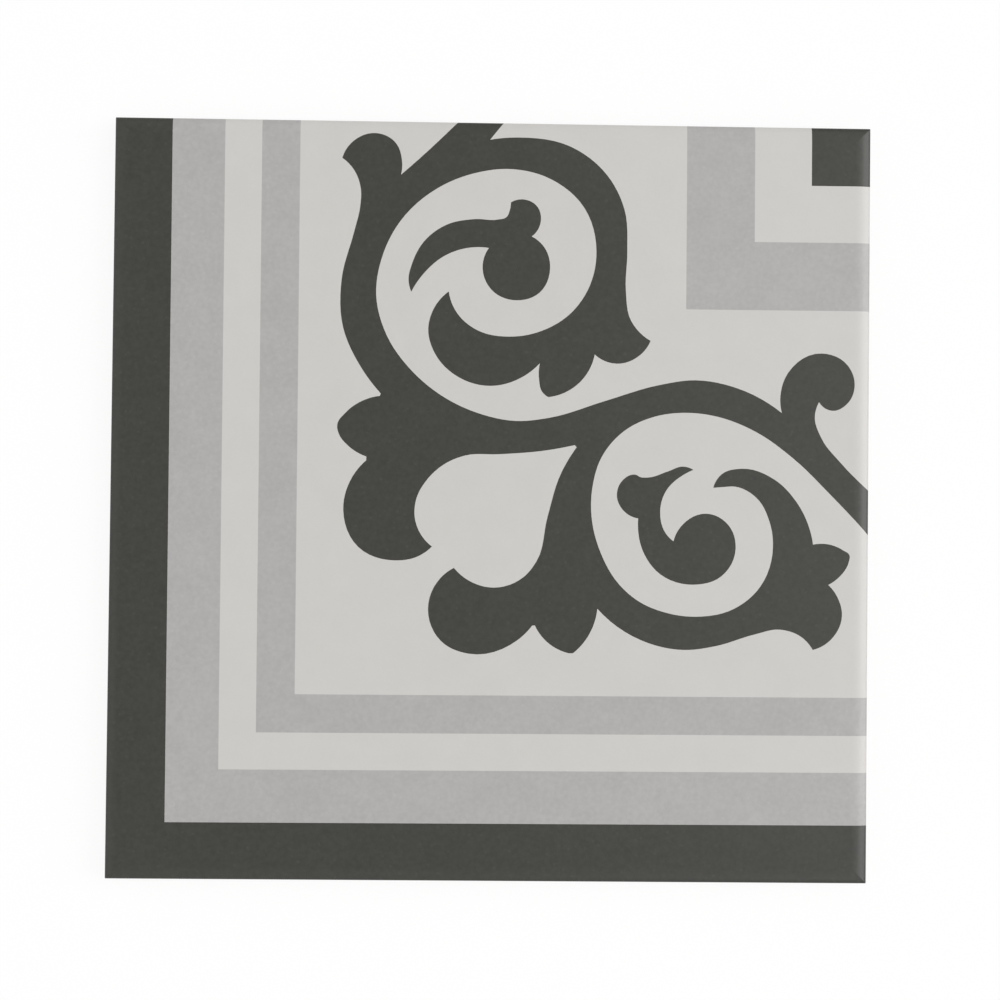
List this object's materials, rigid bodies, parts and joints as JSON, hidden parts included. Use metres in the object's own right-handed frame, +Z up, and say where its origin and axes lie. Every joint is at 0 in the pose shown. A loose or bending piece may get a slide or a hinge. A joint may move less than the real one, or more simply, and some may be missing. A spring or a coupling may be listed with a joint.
{
  "type": "corner border tile",
  "caption": "Square glazed floor tile for the corner of a patterned border: stripes along its outer edges, scrollwork on a pale field, a keyed bedding back and cushioned arrises.",
  "frame": {"origin": "middle of the bedding face, on the ribs that the tile rests on", "axes": "+Z up, out of the glazed face; +X and +Y towards the two edges where the border runs on; the dark stripe lies along the -X and -Y edges"},
  "size_m": [0.2, 0.2, 0.008],
  "materials": {
    "glazed_porcelain": "satin"
  },
  "bodies": {
    "root": {"corner_tile": "glazed_porcelain"}
  },
  "joints": []
}
